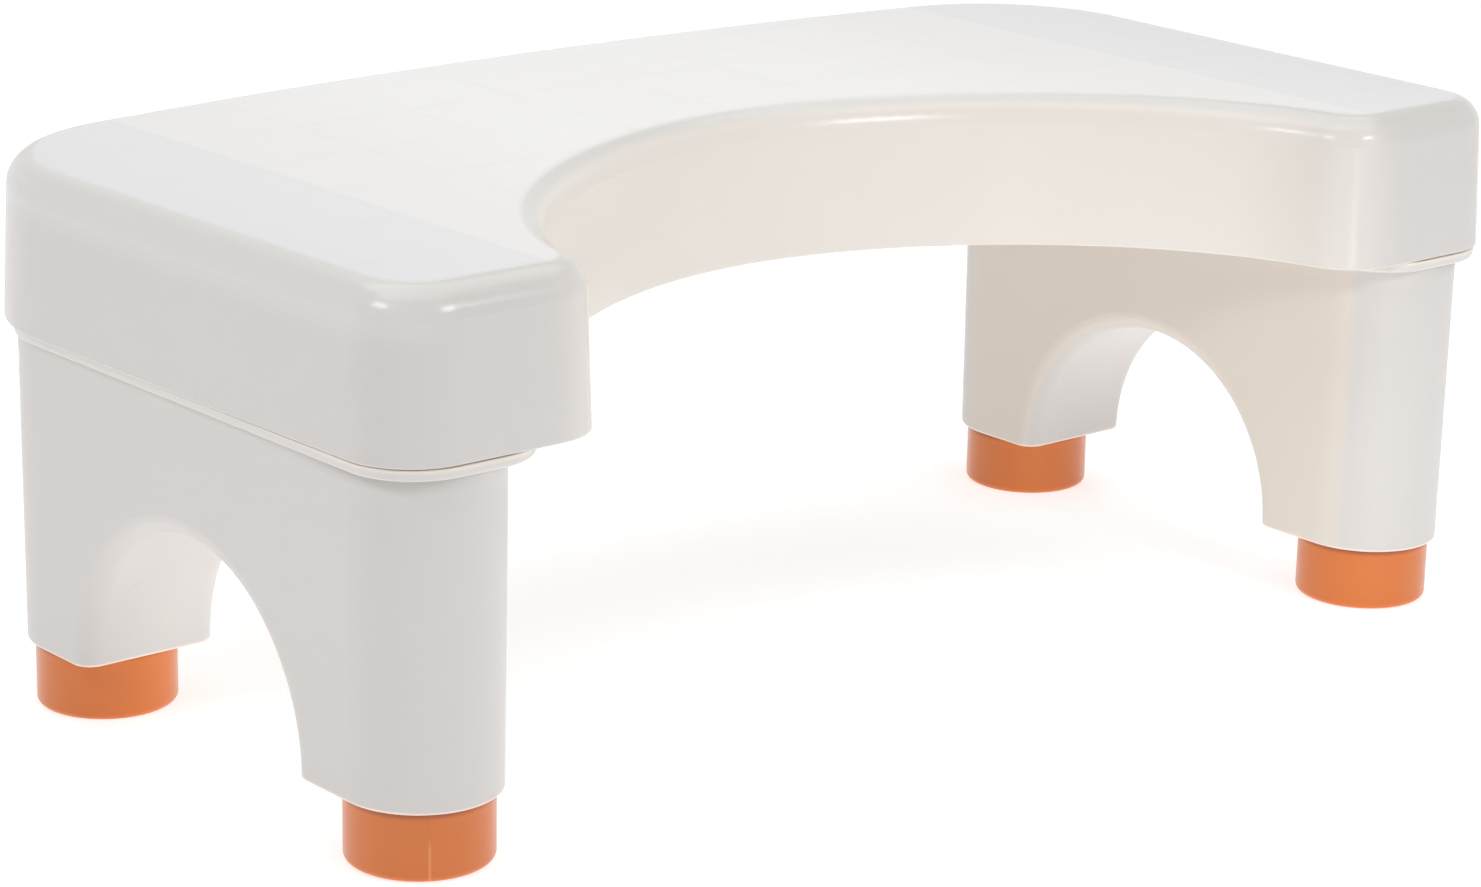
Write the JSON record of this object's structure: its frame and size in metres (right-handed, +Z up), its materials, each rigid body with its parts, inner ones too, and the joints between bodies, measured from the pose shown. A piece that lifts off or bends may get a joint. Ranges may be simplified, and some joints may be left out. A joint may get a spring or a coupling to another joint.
{
  "type": "toilet footstool",
  "caption": "Low white plastic footstool with a deep notch that fits round a toilet, two plug-in arched legs and orange soft foot caps.",
  "frame": {"origin": "on the floor, below the middle of the stool's outer box", "axes": "+Z up, +X along the length from the left leg to the right leg, -Y towards the toilet, the side of the notch"},
  "size_m": [0.4242, 0.2346, 0.16],
  "materials": {
    "seat_plastic": "satin",
    "leg_plastic": "satin",
    "cap_rubber": "satin"
  },
  "bodies": {
    "seat": {"top_shell": "seat_plastic"},
    "left_leg": {"left_leg_module": "leg_plastic"},
    "right_leg": {"right_leg_module": "leg_plastic"},
    "front_left_cap": {"front_left_foot_cap": "cap_rubber"},
    "back_left_cap": {"back_left_foot_cap": "cap_rubber"},
    "front_right_cap": {"front_right_foot_cap": "cap_rubber"},
    "back_right_cap": {"back_right_foot_cap": "cap_rubber"}
  },
  "joints": [
    {"name": "left_leg_unplug", "type": "slide", "parent": "seat", "child": "left_leg", "axis": [0, 0, -1], "range_m": [0, 0.06]},
    {"name": "right_leg_unplug", "type": "slide", "parent": "seat", "child": "right_leg", "axis": [0, 0, -1], "range_m": [0, 0.06]},
    {"name": "front_left_cap_pull", "type": "slide", "parent": "left_leg", "child": "front_left_cap", "axis": [0, 0, -1], "range_m": [0, 0.03]},
    {"name": "back_left_cap_pull", "type": "slide", "parent": "left_leg", "child": "back_left_cap", "axis": [0, 0, -1], "range_m": [0, 0.03]},
    {"name": "front_right_cap_pull", "type": "slide", "parent": "right_leg", "child": "front_right_cap", "axis": [0, 0, -1], "range_m": [0, 0.03]},
    {"name": "back_right_cap_pull", "type": "slide", "parent": "right_leg", "child": "back_right_cap", "axis": [0, 0, -1], "range_m": [0, 0.03]}
  ]
}
